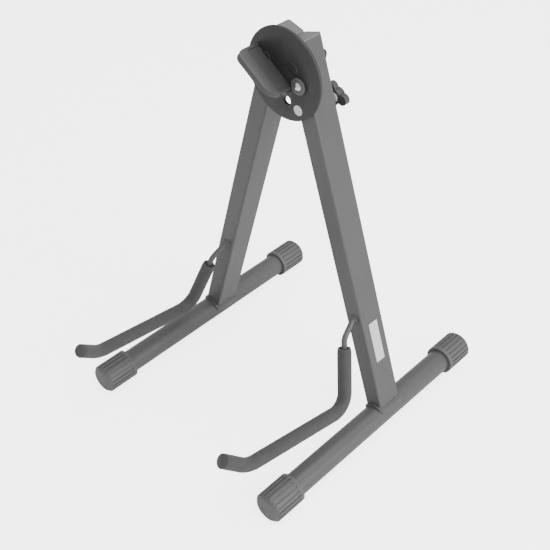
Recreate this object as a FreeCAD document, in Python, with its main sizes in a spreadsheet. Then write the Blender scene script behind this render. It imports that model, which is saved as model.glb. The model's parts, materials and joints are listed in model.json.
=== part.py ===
import FreeCAD, Part
import math
import os

import Sketcher

V = FreeCAD.Vector

# ---------------------------------------------------------------- driving sizes, millimetres and degrees
SIZES = (
    # frame
    ("foot_spacing", 254.0, "foot tube axis to foot tube axis"),
    ("lean_angle", 16.83, "each leg's lean from upright"),
    ("leg_plane_y", 41.57, "where the plane of the two legs stands in the part's frame"),
    ("leg_width", 20.0, "leg tube, across the stand"),
    ("leg_depth", 30.0, "leg tube, front to back"),
    ("leg_wall", 1.5, "leg tube wall"),
    ("leg_corner", 2.2, "leg tube outer corner radius"),
    ("stop_gap", 0.4, "gap between the leg tops where they stop the opening"),
    ("plug_cap", 2.0, "thickness of a top plug's cap"),
    ("plug_depth", 12.0, "how far a top plug reaches into its leg"),
    ("plug_gap", 0.1, "top plug to tube wall clearance"),
    # feet
    ("foot_tube", 25.4, "foot tube diameter"),
    ("foot_wall", 1.5, "foot tube wall"),
    ("foot_front", 180.0, "leg plane to the front end of a foot"),
    ("foot_back", 133.0, "leg plane to the back end of a foot"),
    ("cap_diameter", 32.4, "foot cap over its ribs"),
    ("cap_length", 37.0, "foot cap, end to end"),
    ("cap_floor", 4.0, "foot cap end wall"),
    ("cap_root", 1.1, "depth of the grooves between cap ribs"),
    ("cap_lip", 4.0, "plain ring at a cap's mouth"),
    ("cap_chamfer", 3.0, "chamfer round a cap's end"),
    ("rib_count", 20, "ribs round a cap"),
    ("rib_gap", 2.2, "width of the groove between two ribs"),
    ("weld_size", 2.6, "weld bead at a leg's bottom"),
    # support arms
    ("rod_diameter", 6.0, "support arm rod"),
    ("rod_root", 121.0, "up the leg to where the rod is welded in"),
    ("rod_tail", 7.0, "rod inside the leg, behind its front face"),
    ("rod_knee_out", 18.3, "leg face to the rod's upper bend"),
    ("rod_knee_down", 12.7, "drop from the weld to the upper bend"),
    ("rod_knee_bend", 12.0, "rod's upper bend radius"),
    ("sleeve_out", 21.1, "leg face to the sleeve's mouth"),
    ("sleeve_down", 22.3, "drop from the weld to the sleeve's mouth"),
    ("elbow_out", 39.2, "leg face to the lower bend's corner"),
    ("elbow_down", 84.0, "drop from the weld to the lower bend's corner"),
    ("elbow_bend", 20.0, "lower bend radius"),
    ("hook_out", 172.0, "leg face to the hook's corner"),
    ("hook_down", 60.0, "drop from the weld to the hook's corner"),
    ("hook_bend", 28.0, "hook's bend radius"),
    ("tip_out", 196.0, "leg face to the arm's tip"),
    ("tip_down", 36.0, "drop from the weld to the arm's tip"),
    ("sleeve_diameter", 14.6, "foam sleeve outside"),
    ("tip_plug_diameter", 10.0, "end plug's stem in the sleeve"),
    ("tip_plug_depth", 7.0, "end plug's stem length"),
    ("tip_plug_head", 1.6, "end plug's domed head height"),
    ("arm_toe", 0.76, "how far the arms splay outwards, degrees"),
    ("rod_weld_size", 2.2, "weld bead round the rod"),
    ("rod_weld_toe", 0.4, "weld bead's thickness where it ends on the rod"),
    ("rod_end_gap", 1.0, "rod's end to the end plug's stem"),
    # head
    ("disc_diameter", 89.0, "head disc"),
    ("disc_thickness", 3.0, "head disc plate"),
    ("disc_edge", 0.8, "chamfer round the disc"),
    ("disc_gap", 0.8, "disc to leg face, filled by washers"),
    ("disc_across", 4.4, "disc centre, sideways"),
    ("disc_drop", 9.9953553, "pivot down to the disc centre"),
    ("washer_clearance", 0.3, "washer or disc to the moving leg"),
    ("pivot_drop", 21.8875818, "leg top down to the pivot, along the leg"),
    ("lock_drop", 64.3875818, "leg top down to the lock screw, along the leg"),
    ("lower_bolt_drop", 52.8875818, "leg top down to the left leg's lower disc bolt, along the leg"),
    ("bolt_diameter", 6.0, "pivot and disc bolt shanks"),
    ("bolt_head", 12.0, "bolt head diameter"),
    ("bolt_head_height", 1.0, "bolt head height"),
    ("bush_diameter", 9.0, "bush in the leg, outside"),
    ("running_gap", 0.05, "radial running clearance"),
    ("washer_diameter", 14.0, "washers round the bolts"),
    ("back_washer", 1.0, "back washer thickness"),
    ("nut_flats", 10.0, "cap nut across flats"),
    ("nut_height", 4.0, "cap nut hexagon height"),
    ("nut_dome", 4.0, "cap nut dome height"),
    ("nut_step", 0.4, "cap nut's flats to its dome"),
    ("hang_hole", 8.6, "hole through the disc"),
    ("hang_hole_across", 8.9, "hole, sideways"),
    ("hang_hole_drop", 33.7953553, "pivot down to the hole"),
    # carry grip: a ledge across the disc, tilted down to the right
    ("grip_tilt", 35.0, "ledge's slope"),
    ("grip_drop", 4.0, "disc centre down to the ledge's middle"),
    ("grip_left", -40.0, "ledge's left end along its slope, from the disc centre"),
    ("grip_right", 12.5, "ledge's right end along its slope"),
    ("grip_reach", 26.0, "ledge's reach in front of the disc"),
    ("grip_thickness", 6.5, "ledge thickness"),
    ("grip_round_left", 7.0, "ledge's left corner radius"),
    ("grip_round_right", 15.0, "ledge's right corner radius"),
    ("grip_lip", 11.0, "width of the ledge's raised lip"),
    ("grip_dish", 1.0, "depth of the dish behind the lip"),
    ("grip_wall", 3.0, "wall at each end of the dish"),
    ("grip_screw", 3.0, "grip screw shank"),
    ("grip_screw_head", 5.8, "grip screw head diameter"),
    ("grip_screw_depth", 12.0, "grip screw length"),
    ("grip_screw_one", -14.0, "first grip screw, along the ledge"),
    ("grip_screw_two", 3.0, "second grip screw, along the ledge"),
    # push button on the disc
    ("button_across", 23.7, "button, sideways"),
    ("button_drop", 14.3953553, "pivot down to the button"),
    ("collar_diameter", 16.4, "button collar outside"),
    ("collar_height", 2.6, "collar in front of the disc"),
    ("collar_spigot", 14.0, "collar's spigot in the disc"),
    ("collar_lip", 1.2, "collar's front lip"),
    ("collar_floor", 0.8, "collar's back wall"),
    ("button_diameter", 8.4, "button's domed end"),
    ("button_flange", 10.6, "button's flange"),
    ("button_flange_height", 1.0, "button's flange thickness"),
    ("button_dome", 2.8, "dome in front of the flange"),
    ("button_gap", 0.1, "button to collar clearance"),
    ("spring_wire", 0.5, "button spring wire"),
    ("spring_turns", 2.5, "button spring turns"),
    ("coil_points", 8, "points of the spring's path in each turn"),
    # lock screw
    ("stud_diameter", 6.0, "lock screw"),
    ("stud_hole", 7.0, "lock screw's hole in the leg"),
    ("stud_tip_gap", 0.3, "lock screw's tip to the disc"),
    ("lock_nut_flats", 11.0, "weld nut across flats"),
    ("lock_nut_height", 3.0, "weld nut height"),
    ("stud_shown", 3.0, "screw seen between weld nut and washer"),
    ("lock_washer_diameter", 9.6, "lock washer"),
    ("lock_washer_thickness", 1.2, "lock washer"),
    ("knob_gap", 0.2, "knob to washer"),
    ("knob_reach", 14.5, "knob centre to a lobe's tip"),
    ("knob_lobe", 5.2, "lobe radius"),
    ("knob_hub", 15.0, "knob hub diameter"),
    ("knob_height", 6.0, "knob thickness"),
    ("knob_thread", 6.3, "depth of the screw in the knob"),
    ("knob_hub_height", 8.5, "knob hub thickness"),
    ("knob_turned", 28.0, "how far a lobe is turned from the leg's line"),
    # label
    ("label_up", 88.0, "up the leg to the label's middle"),
    ("label_length", 46.0, "label length"),
    ("label_width", 12.0, "label width"),
    ("label_thickness", 0.3, "label thickness"),
    ("disc_label_diameter", 10.0, "round label on the disc"),
    ("disc_label_across", 22.4, "round label, sideways"),
    ("disc_label_drop", 39.1953553, "pivot down to the round label"),
)

doc = FreeCAD.newDocument("folding_stand")
sheet = doc.addObject("Spreadsheet::Sheet", "sizes")
for row, (alias, value, meaning) in enumerate(SIZES, start=1):
    sheet.set("A%d" % row, meaning)
    sheet.set("B%d" % row, str(value))
    sheet.setAlias("B%d" % row, alias)
doc.recompute()

NODES = []


def number(expression):
    """The value of an expression on the sheet, as a plain number."""
    found = sheet.evalExpression(expression.replace("sizes.", ""))
    return float(getattr(found, "Value", found))


def size(alias):
    return number(alias)


# ---------------------------------------------------------------- expressions used in more than one place
FOOT_Z = "sizes.cap_diameter / 2"
HALF = "sizes.foot_spacing / 2"
FRONT = "sizes.leg_depth / 2"
# up the leg to the cut at its top, where the two inner corners leave the stop gap
LEG_TOP = ("(sizes.foot_spacing / 2 - sizes.stop_gap / 2 - sizes.leg_width / 2"
           " * cos(sizes.lean_angle * 1 deg)) / sin(sizes.lean_angle * 1 deg)")
PIVOT_UP = "(%s - sizes.pivot_drop)" % LEG_TOP
LOCK_UP = "(%s - sizes.lock_drop)" % LEG_TOP
LOWER_UP = "(%s - sizes.lower_bolt_drop)" % LEG_TOP
ACROSS_FROM = "(" + HALF + " - %s * sin(sizes.lean_angle * 1 deg))"
ABOVE_FLOOR = "(" + FOOT_Z + " + %s * cos(sizes.lean_angle * 1 deg))"
PIVOT_X = ACROSS_FROM % PIVOT_UP
PIVOT_Z = ABOVE_FLOOR % PIVOT_UP
LOWER_X = ACROSS_FROM % LOWER_UP
LOWER_Z = ABOVE_FLOOR % LOWER_UP
LOCK_X = ACROSS_FROM % LOCK_UP
LOCK_Z = ABOVE_FLOOR % LOCK_UP
DISC_Z = "(%s - sizes.disc_drop)" % PIVOT_Z
HOLE_Z = "(%s - sizes.hang_hole_drop)" % PIVOT_Z
BUTTON_Z = "(%s - sizes.button_drop)" % PIVOT_Z
GRIP_Z = "(%s - sizes.grip_drop)" % DISC_Z
LABEL_Z = "(%s - sizes.disc_label_drop)" % PIVOT_Z
DISC_BACK = FRONT + " + sizes.disc_gap"
DISC_FRONT = DISC_BACK + " + sizes.disc_thickness"


# ---------------------------------------------------------------- helpers
def finish(obj, label):
    """Name an object as a node of the part."""
    obj.Label = label
    NODES.append(obj)
    return obj


def place(obj, x="0", y="0", z="0", axis=None, angle="0"):
    """Put an object at a bound position, turned by a bound angle about an axis through its origin."""
    if axis is not None:
        obj.Placement = FreeCAD.Placement(V(0, 0, 0), FreeCAD.Rotation(axis, 30))
        obj.setExpression("Placement.Rotation.Angle", angle)
    obj.setExpression("Placement.Base.x", x)
    obj.setExpression("Placement.Base.y", y)
    obj.setExpression("Placement.Base.z", z)
    return obj


def place_on_leg(obj, side):
    """A leg's own frame: its origin on the foot tube's axis, +Z up the leg, the front at -Y."""
    return place(obj, "%d * %s" % (side, HALF), "sizes.leg_plane_y", FOOT_Z, V(0, -side, 0),
                 "sizes.lean_angle")


def cylinder(name, radius, height, x="0", y="0", z="0"):
    """A cylinder along +Y from the point given."""
    made = doc.addObject("Part::Cylinder", name)
    made.setExpression("Radius", radius)
    made.setExpression("Height", height)
    return place(made, x, y, z, V(-1, 0, 0), "90")


def dome(name, radius, height, x, y, z, toward):
    """A round cap: its flat side at y, bulging along Y towards +1 or -1."""
    ball_radius = "((%s) ^ 2 + (%s) ^ 2) / (2 * (%s))" % (radius, height, height)
    ball = doc.addObject("Part::Sphere", name + "_ball")
    ball.setExpression("Radius", ball_radius)
    place(ball, x, "%s + %d * (%s - %s)" % (y, toward, height, ball_radius), z)
    start = y if toward > 0 else "%s - (%s)" % (y, height)
    return common(name, ball, cylinder(name + "_post", radius, height, x, start, z))


def cut(name, base, *tools):
    """A base less one or more tools."""
    for index, tool in enumerate(tools):
        made = doc.addObject("Part::Cut", "%s_cut_%d" % (name, index))
        made.Base = base
        made.Tool = tool
        base = made
    return base


def fuse(name, *shapes):
    made = doc.addObject("Part::MultiFuse", name)
    made.Shapes = list(shapes)
    return made


def common(name, *shapes):
    made = doc.addObject("Part::MultiCommon", name)
    made.Shapes = list(shapes)
    return made


def origin_plane(body, role):
    for feature in body.Origin.OriginFeatures:
        if feature.Role == role:
            return feature
    raise RuntimeError("no plane " + role)


def sketch_on(body, name, role):
    sketch = body.newObject("Sketcher::SketchObject", name)
    sketch.AttachmentSupport = [(origin_plane(body, role), "")]
    sketch.MapMode = "FlatFace"
    return sketch


def bind_point(sketch, geometry, end, x, y):
    """Tie a point of a sketch to two expressions, measured from the sketch's origin."""
    for kind, expression, line in (("DistanceX", x, -2), ("DistanceY", y, -1)):
        value = number(expression)
        if abs(value) < 1e-9:
            sketch.addConstraint(Sketcher.Constraint("PointOnObject", geometry, end, line))
        else:
            index = sketch.addConstraint(Sketcher.Constraint(kind, -1, 1, geometry, end, value))
            sketch.setExpression("Constraints[%d]" % index, expression)


def outline(sketch, points):
    """A closed outline of straight lines whose corners are pairs of expressions."""
    spots = [V(number(x), number(y), 0) for x, y in points]
    count = len(points)
    first = sketch.GeometryCount
    for index in range(count):
        sketch.addGeometry(Part.LineSegment(spots[index], spots[(index + 1) % count]))
    for index in range(count):
        following = first + (index + 1) % count
        sketch.addConstraint(Sketcher.Constraint("Coincident", first + index, 2, following, 1))
    for index, (x, y) in enumerate(points):
        bind_point(sketch, first + index, 1, x, y)


def rectangle(sketch, width, height, x="0", y="0"):
    """A rectangle centred on a bound point."""
    outline(sketch, [("%s + %s * (%s) / 2" % (x, a, width), "%s + %s * (%s) / 2" % (y, b, height))
                     for a, b in (("-1", "-1"), ("1", "-1"), ("1", "1"), ("-1", "1"))])


def ring(sketch, radius, x="0", y="0"):
    """A circle with a bound centre and radius."""
    spot = V(number(x), number(y), 0)
    geometry = sketch.addGeometry(Part.Circle(spot, V(0, 0, 1), number(radius)))
    bind_point(sketch, geometry, 3, x, y)
    index = sketch.addConstraint(Sketcher.Constraint("Radius", geometry, number(radius)))
    sketch.setExpression("Constraints[%d]" % index, radius)


def pad(body, sketch, length, back=False, both=False):
    feature = body.newObject("PartDesign::Pad", sketch.Name + "_pad")
    feature.Profile = sketch
    feature.setExpression("Length", length)
    feature.Reversed = back
    feature.Midplane = both
    body.Tip = feature
    return feature


def pocket_through(body, sketch):
    """A cut right through the body, both ways from the sketch."""
    feature = body.newObject("PartDesign::Pocket", sketch.Name + "_pocket")
    feature.Profile = sketch
    feature.Type = 1
    feature.Midplane = True
    body.Tip = feature
    return feature


def turned(label, points, angle=360.0):
    """A turned piece: its section is (radius, distance along +Y), spun round the Y axis."""
    body = doc.addObject("PartDesign::Body", label)
    sketch = sketch_on(body, label + "_section", "XY_Plane")
    outline(sketch, points)
    feature = body.newObject("PartDesign::Revolution", label + "_turned")
    feature.Profile = sketch
    feature.ReferenceAxis = (sketch, ["V_Axis"])
    feature.Angle = angle
    body.Tip = feature
    return body


def round_upright_edges(body, base, radius):
    """Fillet the four edges of a padded rectangle that run up its own Z."""
    doc.recompute()
    names = []
    for index, edge in enumerate(base.Shape.Edges, start=1):
        ends = [vertex.Point for vertex in edge.Vertexes]
        if len(ends) == 2 and abs((ends[1] - ends[0]).normalize().z) > 0.999:
            names.append("Edge%d" % index)
    feature = body.newObject("PartDesign::Fillet", body.Name + "_fillet")
    feature.Base = (base, names)
    feature.setExpression("Radius", radius)
    body.Tip = feature
    return feature


# ---------------------------------------------------------------- legs
def leg_tube(side, name):
    """Rectangular tube, coped over the foot tube, with holes for what passes through it."""
    body = doc.addObject("PartDesign::Body", name + "_leg_body")
    section = sketch_on(body, name + "_leg_section", "XY_Plane")
    rectangle(section, "sizes.leg_width", "sizes.leg_depth")
    tube = pad(body, section, LEG_TOP + " - sizes.plug_cap")
    round_upright_edges(body, tube, "sizes.leg_corner")
    hollow = sketch_on(body, name + "_leg_hollow", "XY_Plane")
    rectangle(hollow, "sizes.leg_width - 2 * sizes.leg_wall", "sizes.leg_depth - 2 * sizes.leg_wall")
    pocket_through(body, hollow)
    cope = sketch_on(body, name + "_leg_cope", "XZ_Plane")
    ring(cope, "sizes.foot_tube / 2")
    pocket_through(body, cope)
    holes = sketch_on(body, name + "_leg_holes", "XZ_Plane")
    ring(holes, "sizes.bush_diameter / 2", "0", PIVOT_UP)
    if side > 0:
        ring(holes, "sizes.stud_hole / 2", "0", LOCK_UP)
    else:
        ring(holes, "sizes.bush_diameter / 2", "0", LOWER_UP)
    pocket_through(body, holes)
    doc.recompute()
    entry = doc.addObject("Part::Feature", name + "_rod_entry")
    entry.Shape = mirrored(rod_solid(size("rod_diameter")), side)
    made = cut(name + "_leg", body, entry)
    return finish(place_on_leg(made, side), name + "_leg_tube")


def top_plug(side, name):
    """Moulded plug: a cap of the tube's outline and a skirt inside it."""
    body = doc.addObject("PartDesign::Body", name + "_plug_body")
    cap = sketch_on(body, name + "_plug_cap", "XY_Plane")
    cap.AttachmentOffset = FreeCAD.Placement(V(0, 0, 1), FreeCAD.Rotation())
    cap.setExpression("AttachmentOffset.Base.z", LEG_TOP + " - sizes.plug_cap")
    rectangle(cap, "sizes.leg_width", "sizes.leg_depth")
    lid = pad(body, cap, "sizes.plug_cap")
    round_upright_edges(body, lid, "sizes.leg_corner")
    skirt = sketch_on(body, name + "_plug_skirt", "XY_Plane")
    skirt.AttachmentOffset = FreeCAD.Placement(V(0, 0, 1), FreeCAD.Rotation())
    skirt.setExpression("AttachmentOffset.Base.z", LEG_TOP + " - sizes.plug_cap")
    for inset in ("sizes.plug_gap", "(sizes.plug_gap + sizes.leg_wall)"):
        rectangle(skirt, "sizes.leg_width - 2 * (sizes.leg_wall + %s)" % inset,
                  "sizes.leg_depth - 2 * (sizes.leg_wall + %s)" % inset)
    pad(body, skirt, "sizes.plug_depth", back=True)
    return finish(place_on_leg(body, side), name + "_top_plug")


# ---------------------------------------------------------------- feet
def foot_tube(side, name):
    length = "sizes.foot_front + sizes.foot_back - 2 * sizes.cap_floor"
    start = "-sizes.foot_front + sizes.cap_floor"
    outer = cylinder(name + "_foot_outer", "sizes.foot_tube / 2", length, y=start)
    inner = cylinder(name + "_foot_inner", "sizes.foot_tube / 2 - sizes.foot_wall", length, y=start)
    made = cut(name + "_foot", outer, inner)
    return finish(place_on_leg(made, side), name + "_foot_tube")


def leg_weld(side, name):
    """Fillet weld round the leg where it meets the foot tube."""
    body = doc.addObject("PartDesign::Body", name + "_weld_body")
    section = sketch_on(body, name + "_weld_section", "XY_Plane")
    rectangle(section, "sizes.leg_width + 2 * sizes.weld_size", "sizes.leg_depth + 2 * sizes.weld_size")
    block = pad(body, section, "sizes.foot_tube")
    round_upright_edges(body, block, "sizes.leg_corner + sizes.weld_size")
    reach = cylinder(name + "_weld_reach", "sizes.foot_tube / 2 + sizes.weld_size", "3 * sizes.leg_depth",
                     y="-1.5 * sizes.leg_depth")
    tube = cylinder(name + "_weld_tube", "sizes.foot_tube / 2", "3 * sizes.leg_depth",
                    y="-1.5 * sizes.leg_depth")
    leg = doc.addObject("PartDesign::Body", name + "_weld_leg")
    hollow = sketch_on(leg, name + "_weld_leg_section", "XY_Plane")
    rectangle(hollow, "sizes.leg_width", "sizes.leg_depth")
    post = pad(leg, hollow, "2 * sizes.foot_tube")
    round_upright_edges(leg, post, "sizes.leg_corner")
    made = cut(name + "_weld", common(name + "_weld_bead", body, reach), tube, leg)
    return finish(place_on_leg(made, side), name + "_leg_weld")


def foot_cap(side, name, back):
    """Ribbed rubber cap: a cup over the tube's end, with grooves cut between its ribs."""
    label = "%s_%s_cap" % (name, "back" if back else "front")
    outer = "sizes.cap_diameter / 2"
    bore = "sizes.foot_tube / 2"
    cup = turned(label + "_body", [
        ("0", "0"),
        (outer + " - sizes.cap_chamfer", "0"),
        (outer, "sizes.cap_chamfer"),
        (outer, "sizes.cap_length"),
        (bore, "sizes.cap_length"),
        (bore, "sizes.cap_floor"),
        ("0", "sizes.cap_floor")])
    groove_sketch = sketch_on(cup, label + "_groove", "XZ_Plane")
    rectangle(groove_sketch, "sizes.rib_gap", "2 * sizes.cap_root", y="sizes.cap_diameter / 2")
    groove = cup.newObject("PartDesign::Pocket", label + "_groove_pocket")
    groove.Profile = groove_sketch
    groove.setExpression("Length", "sizes.cap_length - sizes.cap_lip")
    cup.Tip = groove
    doc.recompute()
    pattern = cup.newObject("PartDesign::PolarPattern", label + "_grooves")
    pattern.Originals = [groove]
    pattern.Axis = (groove_sketch, ["N_Axis"])
    pattern.Angle = 360
    pattern.setExpression("Occurrences", "sizes.rib_count")
    cup.Tip = pattern
    doc.recompute()
    if back:
        place(cup, "%d * %s" % (side, HALF), "sizes.leg_plane_y + sizes.foot_back", FOOT_Z, V(0, 0, 1),
              "180")
    else:
        place(cup, "%d * %s" % (side, HALF), "sizes.leg_plane_y - sizes.foot_front", FOOT_Z)
    return finish(cup, label)


# ---------------------------------------------------------------- support arms
def bent_path(corners, bends):
    """A wire through corners (out from the leg's face, down from the weld), with an arc at each bend."""
    points = [V(0, -out, -down) for out, down in corners]
    edges = []
    start = points[0]
    for index, radius in enumerate(bends, start=1):
        corner = points[index]
        into = (corner - points[index - 1]).normalize()
        away = (points[index + 1] - corner).normalize()
        turn = math.acos(max(-1.0, min(1.0, into.dot(away))))
        reach = radius * math.tan(turn / 2)
        first = corner - into * reach
        last = corner + away * reach
        inward = (away - into).normalize()
        middle = corner + inward * (radius / math.cos(turn / 2) - radius)
        edges.append(Part.LineSegment(start, first).toShape())
        edges.append(Part.Arc(first, middle, last).toShape())
        start = last
    edges.append(Part.LineSegment(start, points[-1]).toShape())
    return Part.Wire(edges)


def swept(wire, diameter):
    """A round bar along a path."""
    first = wire.Edges[0]
    direction = first.tangentAt(first.FirstParameter)
    section = Part.Wire(Part.Circle(first.Vertexes[0].Point, direction, diameter / 2).toShape())
    return wire.makePipeShell([section], True, True)


def on_arm(shape):
    """From the weld's own frame to the leg's frame, with the arm's splay."""
    move = FreeCAD.Placement(V(0, -size("leg_depth") / 2, size("rod_root")),
                             FreeCAD.Rotation(V(0, 0, 1), size("arm_toe")))
    return shape.transformed(move.toMatrix(), True)


def rod_corners():
    """The rod's corners from inside the leg to the tip."""
    knee = (size("rod_knee_out"), size("rod_knee_down"))
    back = size("rod_tail") / math.hypot(*knee)
    return [(-knee[0] * back, -knee[1] * back), knee, (size("elbow_out"), size("elbow_down")),
            (size("hook_out"), size("hook_down")), (size("tip_out"), size("tip_down"))]


def shortened(corners, length):
    """The same corners with the last run shorter."""
    (x0, y0), (x1, y1) = corners[-2], corners[-1]
    run = math.hypot(x1 - x0, y1 - y0)
    keep = (run - length) / run
    return corners[:-1] + [(x0 + (x1 - x0) * keep, y0 + (y1 - y0) * keep)]


def rod_solid(diameter):
    corners = shortened(rod_corners(), size("tip_plug_depth") + size("rod_end_gap"))
    return on_arm(swept(bent_path(corners,
                                  [size("rod_knee_bend"), size("elbow_bend"), size("hook_bend")]), diameter))


def sleeve_corners():
    return [(size("sleeve_out"), size("sleeve_down"))] + rod_corners()[2:]


def mirrored(shape, side):
    """The left arm splays the other way."""
    return shape if side > 0 else shape.mirror(V(0, 0, 0), V(1, 0, 0))


def arm(side, name):
    """A bent rod, the weld round its root, a foam sleeve over it and a plug in the sleeve's end."""
    bends = [size("elbow_bend"), size("hook_bend")]
    rod = rod_solid(size("rod_diameter"))
    sleeve = on_arm(swept(bent_path(sleeve_corners(), bends), size("sleeve_diameter")))
    tip_out, tip_down = rod_corners()[-1]
    before_out, before_down = rod_corners()[-2]
    axis = V(0, -(tip_out - before_out), -(tip_down - before_down)).normalize()
    tip = V(0, -tip_out, -tip_down)
    stem = Part.makeCylinder(size("tip_plug_diameter") / 2, size("tip_plug_depth"), tip, -axis)
    head_radius = size("sleeve_diameter") / 2
    height = size("tip_plug_head")
    ball_radius = (head_radius ** 2 + height ** 2) / (2 * height)
    ball = Part.makeSphere(ball_radius, tip - axis * (ball_radius - height))
    head = ball.common(Part.makeCylinder(head_radius, height * 2, tip, axis))
    plug = on_arm(stem.fuse(head).removeSplitter())
    bead_radius = size("rod_diameter") / 2 + size("rod_weld_size")
    toe_radius = size("rod_diameter") / 2 + size("rod_weld_toe")
    weld_at = V(0, -size("leg_depth") / 2, size("rod_root"))
    bead = Part.makeCone(bead_radius, toe_radius, size("rod_weld_size"), weld_at, V(0, -1, 0))
    pieces = (
        ("arm_rod", rod),
        ("arm_weld", bead.cut(rod)),
        ("arm_sleeve", sleeve.cut(rod).cut(plug)),
        ("arm_tip_plug", plug),
    )
    for label, shape in pieces:
        made = doc.addObject("Part::Feature", "%s_%s" % (name, label))
        made.Shape = mirrored(shape, side)
        finish(place_on_leg(made, side), "%s_%s" % (name, label))


# ---------------------------------------------------------------- head disc and what is bolted through it
LEFT_BOLTS = (("upper", "-1 * " + PIVOT_X, PIVOT_Z), ("lower", "-1 * " + LOWER_X, LOWER_Z))


def grip_screw_spot(along):
    """A grip screw's place, from how far it is along the ledge."""
    x = "sizes.disc_across + %s * cos(sizes.grip_tilt * 1 deg)" % along
    z = "%s - %s * sin(sizes.grip_tilt * 1 deg)" % (GRIP_Z, along)
    return x, z


def through_disc(name, diameter, x, z):
    """A tool that cuts a round hole through the disc."""
    return cylinder(name, diameter + " / 2", "6 * sizes.disc_thickness", x,
                    "sizes.leg_plane_y - (%s) - 2.5 * sizes.disc_thickness" % DISC_BACK, z)


def head_disc():
    edge = "sizes.disc_diameter / 2"
    disc = turned("disc_body", [
        ("0", "0"), (edge, "0"), (edge, "-sizes.disc_thickness + sizes.disc_edge"),
        (edge + " - sizes.disc_edge", "-sizes.disc_thickness"), ("0", "-sizes.disc_thickness")])
    place(disc, "sizes.disc_across", "sizes.leg_plane_y - (%s)" % DISC_BACK, DISC_Z)
    holes = [
        through_disc("disc_pivot_hole", "sizes.bolt_diameter", PIVOT_X, PIVOT_Z),
        through_disc("disc_button_hole", "sizes.collar_spigot", "sizes.button_across", BUTTON_Z),
        through_disc("disc_hang_hole", "sizes.hang_hole", "sizes.hang_hole_across", HOLE_Z),
    ]
    holes += [through_disc("disc_%s_hole" % name, "sizes.bolt_diameter", x, z) for name, x, z in LEFT_BOLTS]
    for index, along in enumerate(("sizes.grip_screw_one", "sizes.grip_screw_two")):
        holes.append(grip_screw("disc_screw_space_%d" % index, along))
    return finish(cut("disc", disc, *holes), "head_disc")


def grip_screw(name, along):
    """Countersunk screw from behind the disc into the grip, its head flush with the disc's back."""
    head = "sizes.grip_screw_head / 2"
    shank = "sizes.grip_screw / 2"
    cone = "(sizes.grip_screw_head - sizes.grip_screw) / 2"
    screw = turned(name,
                   [("0", "0"), (head, "0"), (shank, "-1 * " + cone), (shank, "-sizes.grip_screw_depth"),
                          ("0", "-sizes.grip_screw_depth")])
    x, z = grip_screw_spot(along)
    return place(screw, x, "sizes.leg_plane_y - (%s)" % DISC_BACK, z)


def grip_screws():
    pair = [grip_screw("grip_screw_%d" % index, along)
            for index, along in enumerate(("sizes.grip_screw_one", "sizes.grip_screw_two"))]
    return finish(fuse("grip_screw_pair", *pair), "grip_screws")


def carry_grip():
    """A ledge that stands out of the disc, rounded in plan, dished from its lip back to the disc."""
    body = doc.addObject("PartDesign::Body", "grip_body")
    plan = sketch_on(body, "grip_plan", "XY_Plane")
    outline(plan, [("sizes.grip_left", "0"), ("sizes.grip_left", "-sizes.grip_reach"),
                   ("sizes.grip_right", "-sizes.grip_reach"), ("sizes.grip_right", "0")])
    slab = pad(body, plan, "sizes.grip_thickness", both=True)
    doc.recompute()
    left_corner = []
    for index, edge in enumerate(slab.Shape.Edges, start=1):
        ends = [vertex.Point for vertex in edge.Vertexes]
        upright = abs((ends[1] - ends[0]).normalize().z) > 0.999
        if upright and ends[0].y < -1 and ends[0].x < 0:
            left_corner.append("Edge%d" % index)
    left = body.newObject("PartDesign::Fillet", "grip_left_round")
    left.Base = (slab, left_corner)
    left.setExpression("Radius", "sizes.grip_round_left")
    body.Tip = left
    doc.recompute()
    names = []
    for index, edge in enumerate(left.Shape.Edges, start=1):
        ends = [vertex.Point for vertex in edge.Vertexes]
        straight = edge.Curve.TypeId == "Part::GeomLine"
        if straight and abs((ends[1] - ends[0]).normalize().z) > 0.999 and ends[0].x > 0 and ends[0].y < -1:
            names.append("Edge%d" % index)
    right = body.newObject("PartDesign::Fillet", "grip_right_round")
    right.Base = (left, names)
    right.setExpression("Radius", "sizes.grip_round_right")
    body.Tip = right
    dish = sketch_on(body, "grip_dish", "XY_Plane")
    dish.AttachmentOffset = FreeCAD.Placement(V(0, 0, 1), FreeCAD.Rotation())
    dish.setExpression("AttachmentOffset.Base.z", "sizes.grip_thickness / 2")
    outline(dish, [("sizes.grip_left + sizes.grip_wall", "0"),
                   ("sizes.grip_left + sizes.grip_wall", "-sizes.grip_reach + sizes.grip_lip"),
                   ("sizes.grip_right - sizes.grip_wall", "-sizes.grip_reach + sizes.grip_lip"),
                   ("sizes.grip_right - sizes.grip_wall", "0")])
    hollow = body.newObject("PartDesign::Pocket", "grip_dish_pocket")
    hollow.Profile = dish
    hollow.setExpression("Length", "sizes.grip_dish")
    body.Tip = hollow
    place(body, "sizes.disc_across", "sizes.leg_plane_y - (%s)" % DISC_FRONT, GRIP_Z,
          V(0, 1, 0), "sizes.grip_tilt")
    spaces = [grip_screw("grip_screw_space_%d" % index, along)
              for index, along in enumerate(("sizes.grip_screw_one", "sizes.grip_screw_two"))]
    # the bolts' heads sit in pockets in the ledge's root
    head_depth = "sizes.bolt_head_height + sizes.plug_gap"
    head_start = "sizes.leg_plane_y - (%s) - sizes.bolt_head_height - sizes.plug_gap" % DISC_FRONT
    for name, x, z in LEFT_BOLTS + (("pivot", PIVOT_X, PIVOT_Z),):
        spaces.append(cylinder("grip_head_space_" + name, "sizes.bolt_head / 2 + sizes.plug_gap",
                               head_depth, x, head_start, z))
    spaces.append(cylinder("grip_collar_space", "sizes.collar_diameter / 2 + sizes.plug_gap",
                           "sizes.collar_height + sizes.plug_gap", "sizes.button_across",
                           "sizes.leg_plane_y - (%s) - sizes.collar_height - sizes.plug_gap" % DISC_FRONT,
                           BUTTON_Z))
    return finish(cut("grip", body, *spaces), "carry_grip")


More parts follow.
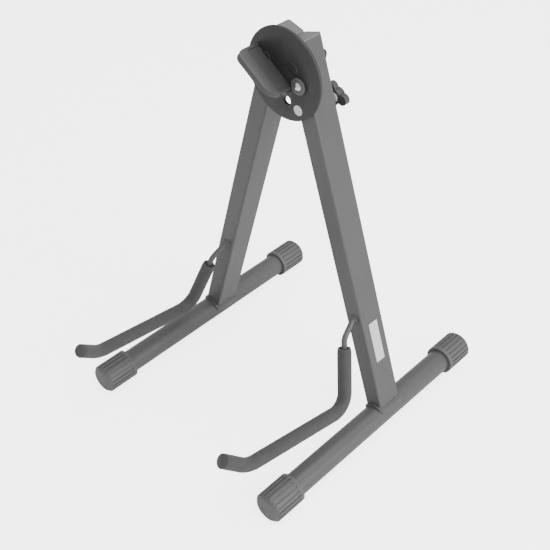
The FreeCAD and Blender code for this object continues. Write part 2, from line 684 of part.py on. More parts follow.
BACK_FACE = "sizes.leg_plane_y + %s" % FRONT
BOLT_BACK = "(%s + sizes.washer_clearance + sizes.back_washer + sizes.nut_height)" % FRONT


def bolt(name, x, z):
    """Flat-headed bolt from the disc's front to the cap nut behind the leg."""
    shank = "sizes.bolt_diameter / 2"
    front = "-1 * (%s)" % DISC_FRONT
    made = turned(name, [
        ("0", front + " - sizes.bolt_head_height"),
        ("sizes.bolt_head / 2 - sizes.disc_edge", front + " - sizes.bolt_head_height"),
        ("sizes.bolt_head / 2", front + " - sizes.bolt_head_height + sizes.disc_edge"),
        ("sizes.bolt_head / 2", front), (shank, front), (shank, BOLT_BACK), ("0", BOLT_BACK)])
    return place(made, x, "sizes.leg_plane_y", z)


def washer(name, x, z, outside, start, thickness):
    """A flat washer round a bolt, from a distance behind the leg plane."""
    outer = cylinder(name + "_outer", outside + " / 2", thickness, x, "sizes.leg_plane_y + " + start, z)
    inner = cylinder(name + "_inner", "sizes.bolt_diameter / 2", thickness, x,
                     "sizes.leg_plane_y + " + start, z)
    return cut(name, outer, inner)


def cap_nut(name, x, z):
    """Hexagon with a domed end."""
    body = doc.addObject("PartDesign::Body", name + "_hexagon")
    sketch = sketch_on(body, name + "_hexagon_sketch", "XZ_Plane")
    corner = "sizes.nut_flats / 2 / cos(30 deg)"
    outline(sketch,
            [("%s * cos(%d deg)" % (corner, 60 * step + 30), "%s * sin(%d deg)" % (corner, 60 * step + 30))
                     for step in range(6)])
    pad(body, sketch, "sizes.nut_height", back=True)
    start = "sizes.leg_plane_y + %s + sizes.washer_clearance + sizes.back_washer" % FRONT
    place(body, x, start, z)
    radius = "sizes.nut_flats / 2 - sizes.nut_step"
    end = dome(name + "_dome", radius, "sizes.nut_dome", x, start + " + sizes.nut_height", z, 1)
    thread = cylinder(name + "_thread", "sizes.bolt_diameter / 2", "sizes.nut_height", x, start, z)
    return cut(name, fuse(name + "_blank", body, end), thread)


def bush(name, x, z):
    """A tube through the leg that the bolt passes."""
    bore = "sizes.bolt_diameter / 2 + sizes.running_gap"
    outer = cylinder(name + "_outer", "sizes.bush_diameter / 2", "sizes.leg_depth", x,
                     "sizes.leg_plane_y - " + FRONT, z)
    inner = cylinder(name + "_inner", bore, "sizes.leg_depth", x, "sizes.leg_plane_y - " + FRONT, z)
    return cut(name, outer, inner)


def pivot_and_bolts():
    finish(bolt("pivot_bolt_body", PIVOT_X, PIVOT_Z), "pivot_bolt")
    finish(fuse("disc_bolt_pair", *[bolt("disc_bolt_" + name, x, z) for name, x, z in LEFT_BOLTS]),
           "disc_bolts")
    front_start = "(-1 * (%s))" % DISC_BACK
    finish(washer("pivot_front", PIVOT_X, PIVOT_Z, "sizes.washer_diameter", front_start,
                  "sizes.disc_gap - sizes.washer_clearance"), "pivot_front_washer")
    finish(fuse("disc_spacer_pair", *[
        washer("disc_spacer_" + name, x, z, "sizes.washer_diameter", front_start, "sizes.disc_gap")
        for name, x, z in LEFT_BOLTS]), "disc_spacers")
    back_start = "(%s + sizes.washer_clearance)" % FRONT
    finish(washer("pivot_back", PIVOT_X, PIVOT_Z, "sizes.washer_diameter", back_start, "sizes.back_washer"),
           "pivot_back_washer")
    finish(fuse("disc_washer_pair", *[
        washer("disc_washer_" + name, x, z, "sizes.washer_diameter", FRONT,
               "sizes.back_washer + sizes.washer_clearance")
        for name, x, z in LEFT_BOLTS]), "disc_bolt_washers")
    finish(cap_nut("pivot_nut_body", PIVOT_X, PIVOT_Z), "pivot_nut")
    finish(fuse("disc_nut_pair", *[cap_nut("disc_nut_" + name, x, z) for name, x, z in LEFT_BOLTS]),
           "disc_nuts")
    finish(bush("pivot_bush_body", PIVOT_X, PIVOT_Z), "pivot_bush")
    finish(fuse("disc_bush_pair", *[bush("disc_bush_" + name, x, z) for name, x, z in LEFT_BOLTS]),
           "disc_bolt_bushes")


# ---------------------------------------------------------------- push button
def push_button():
    outer = "sizes.collar_diameter / 2"
    spigot = "sizes.collar_spigot / 2"
    cavity = "sizes.button_flange / 2 + sizes.button_gap"
    mouth = "sizes.button_diameter / 2 + sizes.button_gap"
    face = "-sizes.disc_thickness"
    front = "-sizes.disc_thickness - sizes.collar_height"
    lip = "-sizes.disc_thickness - sizes.collar_height + sizes.collar_lip"
    where = ("sizes.button_across", "sizes.leg_plane_y - (%s)" % DISC_BACK, BUTTON_Z)
    collar = turned("button_collar_body", [
        ("0", "0"), (spigot, "0"), (spigot, face), (outer, face), (outer, front + " + sizes.disc_edge"),
        (outer + " - sizes.disc_edge", front), (mouth, front), (mouth, lip), (cavity, lip),
        (cavity, "-sizes.collar_floor"), ("0", "-sizes.collar_floor")])
    finish(place(collar, *where), "button_collar")
    flange_front = lip + " + sizes.button_gap"
    flange_back = flange_front + " + sizes.button_flange_height"
    stem = turned("push_button_body", [
        ("0", flange_back), ("sizes.button_flange / 2", flange_back), ("sizes.button_flange / 2",
                                                                       flange_front),
        ("sizes.button_diameter / 2", flange_front), ("sizes.button_diameter / 2",
                                                      lip + " - sizes.collar_lip / 2"),
        ("0", lip + " - sizes.collar_lip / 2")])
    place(stem, *where)
    end = dome("push_button_dome", "sizes.button_diameter / 2", "(sizes.button_dome - sizes.collar_lip / 2)",
               where[0], where[1] + " + (%s) - sizes.collar_lip / 2" % lip, where[2], -1)
    finish(fuse("push_button_whole", stem, end), "push_button")
    # spring between the collar's floor and the button's flange
    floor = number("-sizes.collar_floor")
    top = number(flange_back)
    wire = size("spring_wire")
    radius = size("button_flange") / 2 - wire * 1.5
    height = floor - top - wire
    steps = round(size("spring_turns") * size("coil_points"))
    path = Part.BSplineCurve()
    path.interpolate([
        V(radius * math.cos(2 * math.pi * size("spring_turns") * step / steps),
          radius * math.sin(2 * math.pi * size("spring_turns") * step / steps),
          height * step / steps)
        for step in range(steps + 1)])
    line = Part.Wire([path.toShape()])
    start = line.Edges[0]
    along = start.tangentAt(start.FirstParameter)
    section = Part.Wire(Part.Circle(start.valueAt(start.FirstParameter), along, wire / 2).toShape())
    coil = line.makePipeShell([section], True, True)
    spring = doc.addObject("Part::Feature", "button_spring_body")
    spring.Shape = coil.transformed(FreeCAD.Placement(V(0, 0, -height / 2),
                                                      FreeCAD.Rotation()).toMatrix(), True)
    middle = "(%s + (%s)) / 2" % ("-sizes.collar_floor", flange_back)
    place(spring, where[0], where[1] + " + " + middle, where[2], V(1, 0, 0), "90")
    finish(spring, "button_spring")


# ---------------------------------------------------------------- lock screw and knob
NUT_END = "(%s + sizes.lock_nut_height)" % FRONT
WASHER_START = "(%s + sizes.stud_shown)" % NUT_END
KNOB_START = "(%s + sizes.lock_washer_thickness + sizes.knob_gap)" % WASHER_START


def lock_screw():
    stud_start = "(-1 * (%s) + sizes.stud_tip_gap)" % DISC_BACK
    stud_end = KNOB_START + " + sizes.knob_thread"
    stud_radius = "sizes.stud_diameter / 2"
    stud = turned("lock_stud_body", [
        ("0", stud_start), (stud_radius + " - sizes.disc_edge", stud_start),
        (stud_radius, stud_start + " + sizes.disc_edge"), (stud_radius, stud_end), ("0", stud_end)])
    finish(place(stud, LOCK_X, "sizes.leg_plane_y", LOCK_Z), "lock_stud")

    nut = doc.addObject("PartDesign::Body", "lock_nut_body")
    sketch = sketch_on(nut, "lock_nut_sketch", "XZ_Plane")
    corner = "sizes.lock_nut_flats / 2 / cos(30 deg)"
    outline(sketch, [("%s * cos(%d deg)" % (corner, 60 * step), "%s * sin(%d deg)" % (corner, 60 * step))
                     for step in range(6)])
    ring(sketch, stud_radius + " + sizes.running_gap")
    pad(nut, sketch, "sizes.lock_nut_height", back=True)
    finish(place(nut, LOCK_X, BACK_FACE, LOCK_Z), "lock_nut")

    outer = cylinder("lock_washer_outer", "sizes.lock_washer_diameter / 2",
                     "sizes.lock_washer_thickness", LOCK_X,
                     "sizes.leg_plane_y + " + WASHER_START, LOCK_Z)
    inner = cylinder("lock_washer_inner", stud_radius + " + sizes.running_gap",
                     "sizes.lock_washer_thickness", LOCK_X,
                     "sizes.leg_plane_y + " + WASHER_START, LOCK_Z)
    finish(cut("lock_washer_ring", outer, inner), "lock_washer")

    # three lobes joined by flat webs to a round hub
    solids = [cylinder("knob_hub", "sizes.knob_hub / 2", "sizes.knob_hub_height")]
    for step in range(3):
        angle = 90 + 120 * step
        reach = "(sizes.knob_reach - sizes.knob_lobe)"
        x = "%s * cos(%d deg + sizes.knob_turned * 1 deg)" % (reach, angle)
        z = "%s * sin(%d deg + sizes.knob_turned * 1 deg)" % (reach, angle)
        solids.append(cylinder("knob_lobe_%d" % step, "sizes.knob_lobe", "sizes.knob_height", x, "0", z))
    blank = fuse("knob_blank", *solids)
    thread = cylinder("knob_thread_space", stud_radius, "sizes.knob_thread")
    knob = cut("knob", blank, thread)
    finish(place(knob, LOCK_X, "sizes.leg_plane_y + " + KNOB_START, LOCK_Z), "lock_knob")


# ---------------------------------------------------------------- labels
def labels():
    """A plain label on the right leg's outer side and a round one on the disc."""
    plate = doc.addObject("PartDesign::Body", "leg_label_body")
    face = sketch_on(plate, "leg_label_face", "YZ_Plane")
    face.AttachmentOffset = FreeCAD.Placement(V(0, 0, 1), FreeCAD.Rotation())
    face.setExpression("AttachmentOffset.Base.z", "sizes.leg_width / 2")
    rectangle(face, "sizes.label_width", "sizes.label_length", y="sizes.label_up")
    pad(plate, face, "sizes.label_thickness")
    finish(place_on_leg(plate, 1), "leg_label")
    dot = cylinder("disc_label_dot", "sizes.disc_label_diameter / 2", "sizes.label_thickness",
                   "sizes.disc_label_across",
                   "sizes.leg_plane_y - (%s) - sizes.label_thickness" % DISC_FRONT, LABEL_Z)
    finish(dot, "disc_label")


for side, name in ((-1, "left"), (1, "right")):
    leg_tube(side, name)
    top_plug(side, name)
    foot_tube(side, name)
    leg_weld(side, name)
    foot_cap(side, name, False)
    foot_cap(side, name, True)
    arm(side, name)
head_disc()
carry_grip()
grip_screws()
pivot_and_bolts()
push_button()
lock_screw()
labels()
doc.recompute()

# ---------------------------------------------------------------- check, then write every sub-part
faults = []
for obj in doc.Objects:
    if "Invalid" in obj.State or "Error" in obj.State:
        faults.append("%s: %s" % (obj.Label, obj.State))
for obj in NODES:
    if obj.Shape.isNull() or not obj.Shape.isValid() or not obj.Shape.Solids:
        faults.append("%s: bad shape" % obj.Label)
if faults:
    raise RuntimeError("; ".join(faults))
os.makedirs("parts", exist_ok=True)
for obj in NODES:
    obj.Shape.exportStep("parts/%s.step" % obj.Label)
    print(obj.Label, len(obj.Shape.Solids), round(obj.Shape.Volume, 1))
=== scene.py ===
import json
import math

import bmesh
import bpy
from mathutils import Matrix, Vector

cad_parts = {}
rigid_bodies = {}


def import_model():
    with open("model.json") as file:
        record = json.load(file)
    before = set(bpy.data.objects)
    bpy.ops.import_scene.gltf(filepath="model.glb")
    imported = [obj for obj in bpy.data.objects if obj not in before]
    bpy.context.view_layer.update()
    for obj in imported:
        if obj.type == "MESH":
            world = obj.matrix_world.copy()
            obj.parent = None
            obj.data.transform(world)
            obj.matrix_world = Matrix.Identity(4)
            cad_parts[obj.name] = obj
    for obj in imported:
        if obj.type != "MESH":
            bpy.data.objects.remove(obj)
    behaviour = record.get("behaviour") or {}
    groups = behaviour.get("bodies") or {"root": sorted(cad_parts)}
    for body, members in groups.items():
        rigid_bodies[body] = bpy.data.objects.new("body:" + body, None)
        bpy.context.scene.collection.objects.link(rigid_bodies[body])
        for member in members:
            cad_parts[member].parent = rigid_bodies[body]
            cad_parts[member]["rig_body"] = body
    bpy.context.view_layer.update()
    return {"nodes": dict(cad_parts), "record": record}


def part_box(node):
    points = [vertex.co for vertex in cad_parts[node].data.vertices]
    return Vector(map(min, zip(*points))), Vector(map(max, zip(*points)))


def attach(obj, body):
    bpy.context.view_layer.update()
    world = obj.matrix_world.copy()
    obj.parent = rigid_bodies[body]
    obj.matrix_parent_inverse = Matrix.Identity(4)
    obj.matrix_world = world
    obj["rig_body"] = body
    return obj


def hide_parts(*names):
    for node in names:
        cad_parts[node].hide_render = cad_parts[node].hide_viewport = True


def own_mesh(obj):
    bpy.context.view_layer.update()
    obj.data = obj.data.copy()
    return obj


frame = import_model()
nodes = frame["nodes"]
record = frame["record"]


# ---------------------------------------------------------------- places taken from the part
right_front_low, right_front_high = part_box("right_front_cap")
leg_low, leg_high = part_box("right_leg_tube")

CAP_RADIUS = (right_front_high.x - right_front_low.x) / 2
FOOT_X = (right_front_high.x + right_front_low.x) / 2
LEG_PLANE = (leg_low.y + leg_high.y) / 2


# ---------------------------------------------------------------- camera
def set_camera():
    """Looks down on the stand from its front right."""
    turn, rise, roll = math.radians(45.079), math.radians(39.758), math.radians(1.757)
    backward = Vector((math.sin(turn) * math.cos(rise), -math.cos(turn) * math.cos(rise), math.sin(rise)))
    ahead = -backward
    right = ahead.cross(Vector((0, 0, 1))).normalized()
    down = ahead.cross(right)
    across = right * math.cos(roll) + down * math.sin(roll)
    below = down * math.cos(roll) - right * math.sin(roll)
    turned = Matrix((across, -below, -ahead)).transposed()
    data = bpy.data.cameras.new("camera")
    data.sensor_width = 36.0
    data.lens = 62.54
    camera = bpy.data.objects.new("camera", data)
    bpy.context.scene.collection.objects.link(camera)
    camera.matrix_world = Matrix.Translation((0.5359, -0.5664 + LEG_PLANE, 0.7775)) @ turned.to_4x4()
    bpy.context.scene.camera = camera


# ---------------------------------------------------------------- shared material effects
def group_with(name, inputs, outputs):
    """An empty node group with named sockets: its tree, its way in and its way out."""
    tree = bpy.data.node_groups.new(name, "ShaderNodeTree")
    for label, kind, value in inputs:
        socket = tree.interface.new_socket(name=label, in_out="INPUT", socket_type=kind)
        if value is not None:
            socket.default_value = value
    for label, kind in outputs:
        tree.interface.new_socket(name=label, in_out="OUTPUT", socket_type=kind)
    return tree, tree.nodes.new("NodeGroupInput"), tree.nodes.new("NodeGroupOutput")


def math_node(tree, operation, first, second):
    """One sum on two sockets or numbers, as an output socket."""
    node = tree.nodes.new("ShaderNodeMath")
    node.operation = operation
    for socket, value in zip(node.inputs, (first, second)):
        if isinstance(value, (int, float)):
            socket.default_value = value
        else:
            tree.links.new(value, socket)
    return node.outputs[0]


def coat_texture():
    """Fine orange peel of a sprayed or moulded surface, with slow drifts of tone and gloss."""
    tree, way_in, way_out = group_with("coat_texture", [
        ("Base", "NodeSocketColor", (0.2, 0.2, 0.2, 1)), ("Drift", "NodeSocketFloat", 0.1),
        ("Grain Size", "NodeSocketFloat", 1800.0), ("Roughness", "NodeSocketFloat", 0.4),
        ("Gloss Drift", "NodeSocketFloat", 0.08)],
        [("Color", "NodeSocketColor"), ("Roughness", "NodeSocketFloat"), ("Height", "NodeSocketFloat")])
    place = tree.nodes.new("ShaderNodeTexCoord")
    fine = tree.nodes.new("ShaderNodeTexNoise")
    fine.inputs["Detail"].default_value = 3.0
    slow = tree.nodes.new("ShaderNodeTexNoise")
    slow.inputs["Scale"].default_value = 28.0
    slow.inputs["Detail"].default_value = 4.0
    tree.links.new(place.outputs["Object"], fine.inputs["Vector"])
    tree.links.new(place.outputs["Object"], slow.inputs["Vector"])
    tree.links.new(way_in.outputs["Grain Size"], fine.inputs["Scale"])
    centred = math_node(tree, "SUBTRACT", slow.outputs["Fac"], 0.5)
    speck = math_node(tree, "SUBTRACT", fine.outputs["Fac"], 0.5)
    both = math_node(tree, "ADD", centred, math_node(tree, "MULTIPLY", speck, 0.5))
    tone = math_node(tree, "ADD", math_node(tree, "MULTIPLY", both, way_in.outputs["Drift"]), 1.0)
    scaled = tree.nodes.new("ShaderNodeVectorMath")
    scaled.operation = "SCALE"
    tree.links.new(way_in.outputs["Base"], scaled.inputs[0])
    tree.links.new(tone, scaled.inputs["Scale"])
    tree.links.new(scaled.outputs[0], way_out.inputs["Color"])
    gloss = math_node(tree, "MULTIPLY", centred, way_in.outputs["Gloss Drift"])
    tree.links.new(math_node(tree, "ADD", gloss, way_in.outputs["Roughness"]), way_out.inputs["Roughness"])
    tree.links.new(fine.outputs["Fac"], way_out.inputs["Height"])
    return tree


def foam_cells():
    """Closed-cell foam skin: small pores, and a faint mottle from handling."""
    tree, way_in, way_out = group_with("foam_cells", [
        ("Base", "NodeSocketColor", (0.1, 0.1, 0.1, 1)), ("Cell Size", "NodeSocketFloat", 1100.0)],
        [("Color", "NodeSocketColor"), ("Height", "NodeSocketFloat")])
    place = tree.nodes.new("ShaderNodeTexCoord")
    cells = tree.nodes.new("ShaderNodeTexVoronoi")
    mottle = tree.nodes.new("ShaderNodeTexNoise")
    mottle.inputs["Scale"].default_value = 140.0
    mottle.inputs["Detail"].default_value = 5.0
    tree.links.new(place.outputs["Object"], cells.inputs["Vector"])
    tree.links.new(place.outputs["Object"], mottle.inputs["Vector"])
    tree.links.new(way_in.outputs["Cell Size"], cells.inputs["Scale"])
    tone = math_node(tree, "ADD", math_node(tree, "MULTIPLY", mottle.outputs["Fac"], 0.5), 0.75)
    scaled = tree.nodes.new("ShaderNodeVectorMath")
    scaled.operation = "SCALE"
    tree.links.new(way_in.outputs["Base"], scaled.inputs[0])
    tree.links.new(tone, scaled.inputs["Scale"])
    tree.links.new(scaled.outputs[0], way_out.inputs["Color"])
    tree.links.new(cells.outputs["Distance"], way_out.inputs["Height"])
    return tree


COAT = coat_texture()
FOAM = foam_cells()
PEEL_DEPTH = 0.00008
PORE_DEPTH = 0.00015


def bumped(tree, height, shader, strength, distance):
    """Feed a height to a shader's normal through a bump."""
    bump = tree.nodes.new("ShaderNodeBump")
    bump.inputs["Strength"].default_value = strength
    bump.inputs["Distance"].default_value = distance
    tree.links.new(height, bump.inputs["Height"])
    tree.links.new(bump.outputs["Normal"], shader.inputs["Normal"])


def coated(name, base, roughness, drift=0.1, grain=1800.0, strength=0.25, metallic=0.0, coat=0.0):
    """A painted, moulded or plated surface."""
    made = bpy.data.materials.new(name)
    made.use_nodes = True
    tree = made.node_tree
    shader = tree.nodes["Principled BSDF"]
    shader.inputs["Metallic"].default_value = metallic
    shader.inputs["Coat Weight"].default_value = coat
    effect = tree.nodes.new("ShaderNodeGroup")
    effect.node_tree = COAT
    effect.inputs["Base"].default_value = (base, base, base, 1)
    effect.inputs["Drift"].default_value = drift
    effect.inputs["Grain Size"].default_value = grain
    effect.inputs["Roughness"].default_value = roughness
    tree.links.new(effect.outputs["Color"], shader.inputs["Base Color"])
    tree.links.new(effect.outputs["Roughness"], shader.inputs["Roughness"])
    bumped(tree, effect.outputs["Height"], shader, strength, PEEL_DEPTH)
    return made


def foam(name, base):
    """The skin of a closed-cell foam sleeve."""
    made = bpy.data.materials.new(name)
    made.use_nodes = True
    tree = made.node_tree
    shader = tree.nodes["Principled BSDF"]
    shader.inputs["Roughness"].default_value = 0.72
    shader.inputs["Sheen Weight"].default_value = 0.15
    effect = tree.nodes.new("ShaderNodeGroup")
    effect.node_tree = FOAM
    effect.inputs["Base"].default_value = (base, base, base, 1)
    tree.links.new(effect.outputs["Color"], shader.inputs["Base Color"])
    bumped(tree, effect.outputs["Height"], shader, 0.35, PORE_DEPTH)
    return made


MATERIALS = {
    "grey_paint": coated("grey_paint", 0.083, 0.4, drift=0.18),
    "grey_plastic": coated("grey_plastic", 0.15, 0.5, drift=0.12, grain=2600.0),
    "cap_rubber": coated("cap_rubber", 0.1, 0.48, drift=0.3, grain=900.0, strength=0.4),
    "sleeve_foam": foam("sleeve_foam", 0.047),
    "black_plate": coated("black_plate", 0.027, 0.5, drift=0.25, coat=0.04),
    "black_plastic": coated("black_plastic", 0.055, 0.42, drift=0.2, grain=2200.0, strength=0.35),
    "collar_plastic": coated("collar_plastic", 0.085, 0.36, drift=0.15),
    "black_steel": coated("black_steel", 0.03, 0.42, drift=0.15, metallic=0.3),
    "zinc_steel": coated("zinc_steel", 0.5, 0.32, drift=0.1, metallic=1.0),
    "bright_steel": coated("bright_steel", 0.8, 0.16, drift=0.05, metallic=1.0, strength=0.05),
    "nylon": coated("nylon", 0.65, 0.45, drift=0.06),
    "label_vinyl": coated("label_vinyl", 0.72, 0.3, drift=0.03, strength=0.05),
}
SLOT_OF = {entry["node"]: entry["material_slot"] for entry in record["subparts"]}


def dress(obj, slot):
    """Give an object one finish."""
    obj.data.materials.clear()
    obj.data.materials.append(MATERIALS[slot])


for name, node in nodes.items():
    for index in range(len(node.data.materials)):
        node.data.materials[index] = MATERIALS[SLOT_OF[name]]


# ---------------------------------------------------------------- ways of making a piece
def alone(obj):
    """Make one object the only one selected and the active one."""
    bpy.ops.object.select_all(action="DESELECT")
    obj.select_set(True)
    bpy.context.view_layer.objects.active = obj


def apply_all(obj):
    """Apply every modifier, and leave the object selected."""
    alone(obj)
    for modifier in list(obj.modifiers):
        bpy.ops.object.modifier_apply(modifier=modifier.name)


def body_of(node):
    """The body a CAD node belongs to."""
    return nodes[node]["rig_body"]


def hand_over(piece, *replaced):
    """Give a finished piece its finish and its body, and let it stand for its nodes."""
    name = SLOT_OF[replaced[0]]
    dress(piece, name)
    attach(piece, body_of(replaced[0]))
    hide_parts(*replaced)
    return piece


def copy_of(node, name):
    """A copy of a node's shape, its flat faces made whole again, left selected."""
    piece = bpy.data.objects.new(name, nodes[node].data.copy())
    bpy.context.scene.collection.objects.link(piece)
    alone(piece)
    if piece.data.has_custom_normals:
        bpy.ops.mesh.customdata_custom_splitnormals_clear()
    bpy.ops.object.mode_set(mode="EDIT")
    bpy.ops.mesh.select_all(action="SELECT")
    bpy.ops.mesh.remove_doubles(threshold=0.00001)
    bpy.ops.mesh.dissolve_limited(angle_limit=math.radians(0.5))
    bpy.ops.object.mode_set(mode="OBJECT")
    return piece


def softened(node, name, width, segments=2, sharper_than=25):
    """A node's shape with its edges rounded over, as moulding or finishing leaves them."""
    piece = copy_of(node, name)
    bevel = piece.modifiers.new("edges", "BEVEL")
    bevel.width = width
    bevel.segments = segments
    bevel.limit_method = "ANGLE"
    bevel.angle_limit = math.radians(sharper_than)
    apply_all(piece)
    bpy.ops.object.shade_smooth_by_angle(angle=math.radians(40))
    return hand_over(piece, node)


# ---------------------------------------------------------------- foam sleeves on the support arms
LEAN = math.radians(16.83)
ARM_TOE = math.radians(0.76)
ROD_ROOT = 0.121
LEG_DEPTH = 0.030
SLEEVE_RADIUS = 0.0073
ROD_RADIUS = 0.003
SLEEVE_CORNERS = ((0.0211, 0.0223), (0.0392, 0.0840), (0.1720, 0.0600), (0.1960, 0.0360))
SLEEVE_BENDS = (0.020, 0.028)
RUN_STEP = 0.004
BEND_STEPS = 18
AROUND = 40
END_ROUND = 0.0016
CREASE_DEPTH = 0.00022
CREASE_SPACING = 0.0042
BEND_PINCH = 0.00025
# how the foam's mouth rolls in to the rod: each ring's radius, and how far in it is
MOUTH = ((0.0060, -0.0002), (0.0045, 0.0002), (ROD_RADIUS + 0.0002, 0.0016), (ROD_RADIUS + 0.0002, 0.006))


def on_leg(side, out, down, across=0.0):
    """A place on an arm: out from the leg's face, down from the weld, and across."""
    spot = Matrix.Rotation(ARM_TOE, 3, "Z") @ Vector((across, -out, -down))
    spot += Vector((0, -LEG_DEPTH / 2, ROD_ROOT))
    spot.x *= side
    spot = Matrix.Rotation(LEAN, 3, Vector((0, -side, 0))) @ spot
    return spot + Vector((side * FOOT_X, LEG_PLANE, CAP_RADIUS))


def sleeve_line():
    """Points along the sleeve's middle, with how much each bend squeezes the foam there."""
    corners = [Vector(corner) for corner in SLEEVE_CORNERS]
    line = []

    def straight(start, end):
        count = max(2, round((end - start).length / RUN_STEP))
        line.extend((start.lerp(end, step / count), 0.0) for step in range(count))

    start = corners[0]
    for index, radius in enumerate(SLEEVE_BENDS, start=1):
        corner = corners[index]
        into = (corner - corners[index - 1]).normalized()
        away = (corners[index + 1] - corner).normalized()
        turn = into.angle(away)
        reach = radius * math.tan(turn / 2)
        first = corner - into * reach
        straight(start, first)
        inward = (away - into).normalized()
        middle = corner + inward * (radius / math.cos(turn / 2))
        sweep = math.atan2(into.x * away.y - into.y * away.x, into.dot(away))
        for step in range(BEND_STEPS):
            arm = first - middle
            angle = sweep * step / BEND_STEPS
            turned = Vector((arm.x * math.cos(angle) - arm.y * math.sin(angle),
                             arm.x * math.sin(angle) + arm.y * math.cos(angle)))
            line.append((middle + turned, math.sin(math.pi * step / BEND_STEPS)))
        start = corner + away * reach
    straight(start, corners[-1])
    line.append((corners[-1], 0.0))
    return line


def ring_at(build, side, spot, outside, radii):
    """A ring of points about the sleeve's middle, one for each radius."""
    ring = []
    for step, radius in enumerate(radii):
        angle = 2 * math.pi * step / AROUND
        place = spot + outside * (radius * math.cos(angle))
        ring.append(build.verts.new(on_leg(side, place.x, place.y, radius * math.sin(angle))))
    return ring


def join_rings(build, first, second):
    for step in range(AROUND):
        after = (step + 1) % AROUND
        build.faces.new((first[step], first[after], second[after], second[step]))


def foam_sleeve(side, node):
    """A foam tube with a rolled mouth, a soft end, and shallow creases inside each bend."""
    line = sleeve_line()
    spots = [spot for spot, _ in line]
    total = sum((b - a).length for a, b in zip(spots, spots[1:]))
    build = bmesh.new()
    rings = []
    along = 0.0
    for index, (spot, squeeze) in enumerate(line):
        before = spots[max(index - 1, 0)]
        after = spots[min(index + 1, len(spots) - 1)]
        tangent = (after - before).normalized()
        outside = Vector((-tangent.y, tangent.x))
        if index:
            along += (spot - spots[index - 1]).length
        from_end = min(along, total - along)
        rounded = 1.0 - 0.09 * max(0.0, 1.0 - from_end / END_ROUND) ** 2
        crease = CREASE_DEPTH * squeeze * math.cos(2 * math.pi * along / CREASE_SPACING)
        # the two bends turn opposite ways, so the inside of the bend changes side halfway
        facing = -1 if index < len(line) / 2 else 1
        radii = []
        for step in range(AROUND):
            inner = max(0.0, facing * math.cos(2 * math.pi * step / AROUND))
            radii.append(SLEEVE_RADIUS * rounded - abs(crease) * inner - BEND_PINCH * squeeze * inner)
        rings.append(ring_at(build, side, spot, outside, radii))
    for first, second in zip(rings, rings[1:]):
        join_rings(build, first, second)
    tangent = (spots[1] - spots[0]).normalized()
    outside = Vector((-tangent.y, tangent.x))
    last = rings[0]
    for radius, inward in MOUTH:
        ring = ring_at(build, side, spots[0] + tangent * inward, outside, [radius] * AROUND)
        join_rings(build, ring, last)
        last = ring
    build.faces.new(last)
    build.faces.new(rings[-1])
    bmesh.ops.recalc_face_normals(build, faces=build.faces)
    mesh = bpy.data.meshes.new(node + "_foam")
    build.to_mesh(mesh)
    build.free()
    piece = bpy.data.objects.new(node + "_foam", mesh)
    bpy.context.scene.collection.objects.link(piece)
    alone(piece)
    bpy.ops.object.shade_smooth_by_angle(angle=math.radians(50))
    hand_over(piece, node)


# ---------------------------------------------------------------- welds
def rippled(node, name, ripples, depth):
    """A weld bead with the small overlapping ripples of a hand-laid weld."""
    piece = copy_of(node, name)
    low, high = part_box(node)
    middle = (low + high) / 2
    bpy.ops.object.mode_set(mode="EDIT")
    bpy.ops.mesh.select_all(action="SELECT")
    bpy.ops.mesh.quads_convert_to_tris()
    bpy.ops.mesh.subdivide(number_cuts=2)
    bpy.ops.object.mode_set(mode="OBJECT")
    normals = [vertex.normal.copy() for vertex in piece.data.vertices]
    for vertex, normal in zip(piece.data.vertices, normals):
        offset = vertex.co - middle
        angle = math.atan2(offset.y, offset.x)
        vertex.co -= normal * depth * (0.5 + 0.5 * math.cos(ripples * angle))
    bpy.ops.object.shade_smooth_by_angle(angle=math.radians(50))
    return hand_over(piece, node)


# ---------------------------------------------------------------- all the pieces
for side, label in ((-1, "left"), (1, "right")):
    foam_sleeve(side, label + "_arm_sleeve")
    for end in ("front", "back"):
        softened("%s_%s_cap" % (label, end), "%s_%s_cap_moulded" % (label, end), 0.00035)
    softened(label + "_arm_tip_plug", label + "_arm_tip_plug_moulded", 0.0006)
    softened(label + "_top_plug", label + "_top_plug_moulded", 0.0006)
    rippled(label + "_leg_weld", label + "_leg_weld_bead", 30, 0.00025)
    rippled(label + "_arm_weld", label + "_arm_weld_bead", 14, 0.00018)
softened("head_disc", "head_disc_coated", 0.0003)
softened("carry_grip", "carry_grip_moulded", 0.0011, segments=4)
softened("lock_knob", "lock_knob_moulded", 0.0009, segments=3)
softened("button_collar", "button_collar_moulded", 0.0003)
softened("lock_nut", "lock_nut_finished", 0.0005)
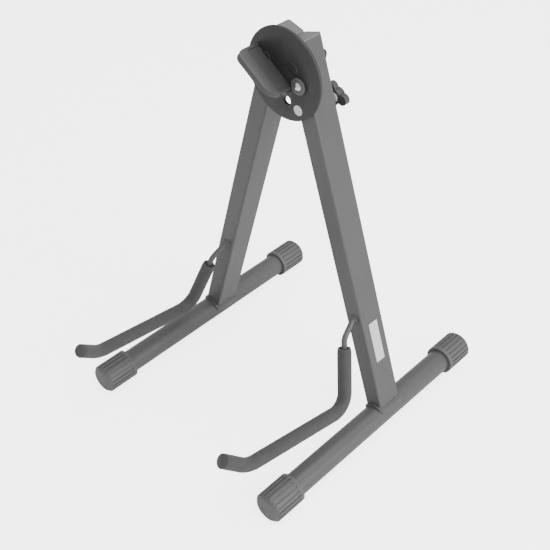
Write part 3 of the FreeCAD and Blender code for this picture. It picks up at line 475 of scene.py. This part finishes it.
# the spring shortens by the button's travel and stays put at its back; here it is a merged copy with a
# mesh of its own
coil = hand_over(copy_of("button_spring", "button_spring_coil"), "button_spring")
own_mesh(coil)


# ---------------------------------------------------------------- setting
FLOOR_GLOW = 3.6
ROOM_LIGHT = 0.82


def set_room():
    """A pale floor, an even room, one lamp overhead and one to the right."""
    bpy.ops.object.select_all(action="DESELECT")
    bpy.ops.mesh.primitive_plane_add(size=12)
    floor = bpy.context.object
    floor.name = "floor"
    floor.data.transform(Matrix.Translation((0, 0, -0.0005)))
    paper = bpy.data.materials.new("pale_floor")
    paper.use_nodes = True
    shader = paper.node_tree.nodes["Principled BSDF"]
    shader.inputs["Base Color"].default_value = (0.95, 0.95, 0.95, 1)
    shader.inputs["Roughness"].default_value = 0.9
    shader.inputs["Emission Color"].default_value = (1, 1, 1, 1)
    # the glow is only for the eye: the stand is lit as it would be by plain pale paper
    rays = paper.node_tree.nodes.new("ShaderNodeLightPath")
    glow = paper.node_tree.nodes.new("ShaderNodeMath")
    glow.operation = "MULTIPLY"
    glow.inputs[1].default_value = FLOOR_GLOW
    paper.node_tree.links.new(rays.outputs["Is Camera Ray"], glow.inputs[0])
    paper.node_tree.links.new(glow.outputs["Value"], shader.inputs["Emission Strength"])
    floor.data.materials.append(paper)
    world = bpy.data.worlds.new("room")
    bpy.context.scene.world = world
    world.use_nodes = True
    world.node_tree.nodes["Background"].inputs["Color"].default_value = (1, 1, 1, 1)
    world.node_tree.nodes["Background"].inputs["Strength"].default_value = ROOM_LIGHT
    for name, spot, width, power in (
            ("overhead", (0.5, 0.2, 1.9), 1.3, 20.0), ("right", (3.2, 0.35, 1.3), 2.0, 78.0)):
        data = bpy.data.lights.new(name, "AREA")
        data.size = width
        data.energy = power
        lamp = bpy.data.objects.new(name, data)
        bpy.context.scene.collection.objects.link(lamp)
        aim = Vector((0, 0, 0.2)) - Vector(spot)
        lamp.matrix_world = Matrix.Translation(spot) @ aim.to_track_quat("-Z", "Y").to_matrix().to_4x4()


set_camera()
set_room()
